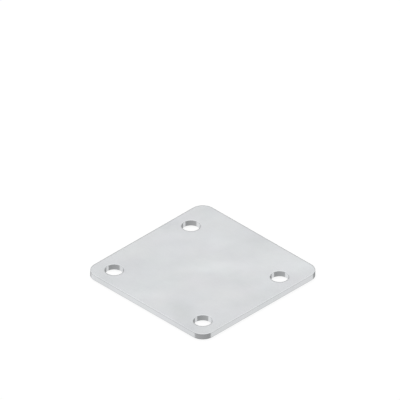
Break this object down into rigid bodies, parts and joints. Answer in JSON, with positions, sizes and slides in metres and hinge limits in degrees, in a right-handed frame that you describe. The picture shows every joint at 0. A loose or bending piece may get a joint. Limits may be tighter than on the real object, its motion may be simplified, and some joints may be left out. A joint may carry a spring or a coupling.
{
  "type": "cover plate",
  "caption": "Flat sheet steel cover plate with a square outline, rounded corners, softly broken edges and a plain clearance hole for a machine screw near each corner.",
  "frame": {"origin": "middle of the square outline, on the back face, which lies on whatever the plate covers", "axes": "+Z out of the front face, towards the screw heads; X and Y along the edges, with the wide margin beyond the holes on the +Y side"},
  "size_m": [0.08, 0.08, 0.003],
  "materials": {
    "zinc_coated_steel": "satin zinc coating with faint cloudy mottling"
  },
  "bodies": {
    "root": {"cover_plate": "zinc_coated_steel"}
  },
  "joints": []
}
